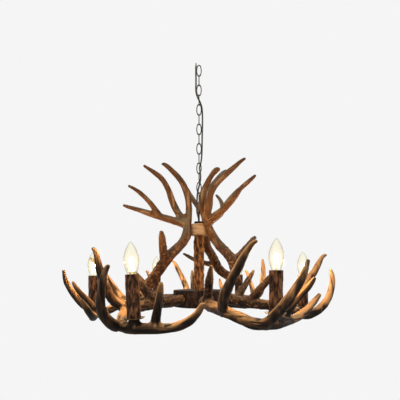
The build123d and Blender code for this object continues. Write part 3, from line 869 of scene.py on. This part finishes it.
sleeve_bark = bark_finish(
    "sleeve_bark",
    [(0.40, (0.010, 0.005, 0.003)), (0.54, (0.052, 0.023, 0.011)), (0.70, (0.17, 0.070, 0.028))],
    (0.20, 0.095, 0.040), 0.5,
)
stem_bark = bark_finish(
    "stem_bark",
    [(0.38, (0.018, 0.007, 0.003)), (0.53, (0.075, 0.030, 0.011)), (0.70, (0.23, 0.095, 0.031))],
    (0.33, 0.15, 0.055), 0.6,
)
hub_bark = bark_finish(
    "hub_bark",
    [(0.38, (0.004, 0.002, 0.0015)), (0.56, (0.013, 0.0065, 0.0045)), (0.76, (0.058, 0.028, 0.015))],
    (0.060, 0.033, 0.018), 0.3,
)
for sleeve in sleeves:
    dress(sleeve, sleeve_bark)
dress(column, stem_bark)
dress(hub, hub_bark)

collar_finish = Finish("collar_stain_painted_shade")
across = collar_finish.tree.nodes.new("ShaderNodeSeparateXYZ")
collar_finish.link(collar_finish.place, across.inputs["Vector"])
ring = collar_finish.noise(120, detail=5, stretch=(0.25, 0.25, 1))
warm = collar_finish.colours(ring, [(0.32, (0.20, 0.095, 0.036)), (0.66, (0.46, 0.27, 0.115))])
# Painted shade: beyond about two centimetres towards -x the collar turns nearly black, along a ragged
# edge.
ragged = collar_finish.sum("MULTIPLY", collar_finish.noise(60), 0.012)
edge = collar_finish.sum("ADD", across.outputs["X"], ragged)
shade = collar_finish.sum("MULTIPLY", edge, -22)
shade = collar_finish.colours(shade, [(0.26, (0,) * 3), (0.44, (1,) * 3)])
collar_finish.colour(collar_finish.mix(shade, warm, (0.022, 0.016, 0.011)))
collar_finish.roughen(ring, 0.38, 0.6)
collar_finish.relief(ring, 0.0004, 0.5)
dress(collar, collar_finish.material)
print("four bark and stain finishes")

# %% [markdown]
# A candle bulb is a blown shell of clear glass on a screw cap. One bulb is modelled from a
# sphere whose rings are moved onto the bulb's outline, and copied for the others. The
# outline gives the radius at shares of the height.

# %% Bulb glass
low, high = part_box("bulb_glass_right")
bulb_length = high.z - low.z
bulb_outline = [
    (0.00, 0.0066), (0.05, 0.0079), (0.13, 0.0102), (0.22, 0.0128), (0.33, 0.0155),
    (0.44, 0.0172), (0.53, 0.0175), (0.62, 0.0169), (0.72, 0.0148), (0.82, 0.0113),
    (0.90, 0.0076), (0.955, 0.0047), (0.985, 0.0025), (1.00, 0.0),
]
bpy.ops.object.select_all(action="DESELECT")
bpy.ops.mesh.primitive_uv_sphere_add(segments=40, ring_count=34, radius=1, location=(0, 0, 0))
bulb_form = bpy.context.object
points = corners(bulb_form)
share = 1 - np.arccos(np.clip(points[:, 2], -1, 1)) / math.pi
around = np.arctan2(points[:, 1], points[:, 0])
bulb_ring = np.interp(share, *zip(*bulb_outline))
bulb_ring[np.hypot(points[:, 0], points[:, 1]) < 1e-5] = 0
sideways = (bulb_ring * np.cos(around), bulb_ring * np.sin(around))
move_corners(bulb_form, np.stack([*sideways, share * bulb_length], axis=1))
bulb_form.name = "bulb_form"
pick(bulb_form)
bpy.ops.object.shade_smooth()
print("a bulb is", round(bulb_length * 1000), "mm long")

# %% [markdown]
# Inside the glass stand the post and the filament. The post is a cone, and six thin rods
# with rounded ends stand round it and lean in towards the top.

# %% Filament
low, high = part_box("bulb_filament_right")
filament_length = high.z - low.z
rod_count, rod_radius, rod_ring_radius, rod_lean = 6, 0.0009, 0.0052, 0.06
post_reach = 0.0035


def filament_piece(name):
    """The glass post with its ring of filament rods, standing on the origin."""
    bpy.ops.object.select_all(action="DESELECT")
    bpy.ops.mesh.primitive_cone_add(
        vertices=20, radius1=0.0032, radius2=0.0012, depth=filament_length * 0.5,
        location=(0, 0, filament_length * 0.25),
    )
    post = bpy.context.object
    bpy.ops.object.transform_apply(location=True)
    bpy.ops.object.mode_set(mode="EDIT")
    bpy.ops.mesh.select_all(action="SELECT")
    bpy.ops.mesh.bevel(offset=0.0006, segments=2)
    bpy.ops.object.mode_set(mode="OBJECT")
    rods = [post]
    for turn in range(rod_count):
        angle = turn * math.tau / rod_count
        right, back = math.cos(angle), math.sin(angle)
        bpy.ops.mesh.primitive_cylinder_add(
            vertices=10, radius=rod_radius, depth=filament_length * 0.62,
            location=(rod_ring_radius * right, rod_ring_radius * back, filament_length * 0.62),
            rotation=(rod_lean * back, -rod_lean * right, 0),
        )
        bpy.ops.object.transform_apply(location=True, rotation=True)
        bpy.ops.object.mode_set(mode="EDIT")
        bpy.ops.mesh.select_all(action="SELECT")
        bpy.ops.mesh.bevel(offset=0.0003, segments=2)
        bpy.ops.object.mode_set(mode="OBJECT")
        rods.append(bpy.context.object)
    for rod in rods:
        rod.select_set(True)
    bpy.context.view_layer.objects.active = post
    bpy.ops.object.join()
    post.name = name
    points = corners(post)
    paint(post, "glow", np.hypot(points[:, 0], points[:, 1]) > post_reach)
    return post


filament_form = filament_piece("filament_form")

# %% [markdown]
# Glass at this size is seen by its rim, so its opacity grows towards the edge. The glass also carries
# a painted glow, warm white in its middle and fading to grey green at the rim. The rods glow a warm
# white, and the post between them has a faint painted glow. Each bulb also holds a small warm lamp,
# which lights the antlers round it, since thin glowing rods alone would make a speckled light.

# %% Light the bulbs
bulb_power = 3.5
bulb_tone = (1.0, 0.66, 0.33)
painted_glow_stops = [
    (0.10, (0.84, 0.78, 0.42)), (0.34, (0.48, 0.46, 0.23)),
    (0.58, (0.20, 0.20, 0.10)), (0.82, (0.06, 0.06, 0.03)),
]
glass_stops = [(0.3, (0.005, 0.005, 0.003)), (0.7, (0.008, 0.008, 0.005))]
rod_stops = [(0.4, (0.02, 0.02, 0.015)), (0.6, (0.02, 0.018, 0.012))]
glass_finish = Finish("bulb_glass_clear", roughness=0.06, gloss=dull_gloss)
rim = glass_finish.tree.nodes.new("ShaderNodeLayerWeight")
rim.inputs["Blend"].default_value = 0.35
glass_finish.colour(glass_finish.colours(glass_finish.noise(60), glass_stops))
# Painted glow: the glass emits warm white in its middle, fading to grey green towards the rim.
painted_glow = glass_finish.colours(rim.outputs["Facing"], painted_glow_stops)
glass_finish.link(painted_glow, glass_finish.shader.inputs["Emission Color"])
opacity = glass_finish.tree.nodes.new("ShaderNodeMapRange")
opacity.inputs["From Min"].default_value = 0.25
opacity.inputs["To Min"].default_value = 0.22
opacity.inputs["To Max"].default_value = 0.85
glass_finish.link(rim.outputs["Facing"], opacity.inputs["Value"])
glass_finish.link(opacity.outputs["Result"], glass_finish.shader.inputs["Alpha"])
glass_finish.shader.inputs["Emission Strength"].default_value = 1.0

glow_finish = Finish("filament_glow", roughness=0.3)
glow_finish.colour(glow_finish.colours(glow_finish.painted("glow"), rod_stops))
glow_finish.shader.inputs["Emission Color"].default_value = (1.0, 0.84, 0.52, 1)
# The rods glow as the filament; the post glows faintly too, a painted glow.
rod_heat_and_post_glow = glow_finish.sum("ADD", glow_finish.sum("MULTIPLY", glow_finish.painted("glow"), 3.4), 0.7)
glow_finish.link(rod_heat_and_post_glow, glow_finish.shader.inputs["Emission Strength"])

for name in arm_names:
    foot, head = axis_of(f"bulb_glass_{name}")
    glass = bpy.data.objects.new(f"blown_glass_{name}", bulb_form.data.copy())
    bpy.context.scene.collection.objects.link(glass)
    place_upright(glass, foot, head)
    stand_for(glass, f"bulb_glass_{name}")
    dress(glass, glass_finish.material)
    rods = bpy.data.objects.new(f"glow_rods_{name}", filament_form.data.copy())
    bpy.context.scene.collection.objects.link(rods)
    place_upright(rods, foot + (head - foot) * 0.02, head)
    stand_for(rods, f"bulb_filament_{name}")
    dress(rods, glow_finish.material)
    data = bpy.data.lights.new(f"bulb_light_{name}", "POINT")
    data.energy = bulb_power
    data.shadow_soft_size = 0.004
    data.color = bulb_tone
    lamp = bpy.data.objects.new(f"bulb_light_{name}", data)
    bpy.context.scene.collection.objects.link(lamp)
    lamp.location = foot + (head - foot) * 0.5
bpy.data.objects.remove(bulb_form)
bpy.data.objects.remove(filament_form)
print("lit bulbs", len(arm_names))
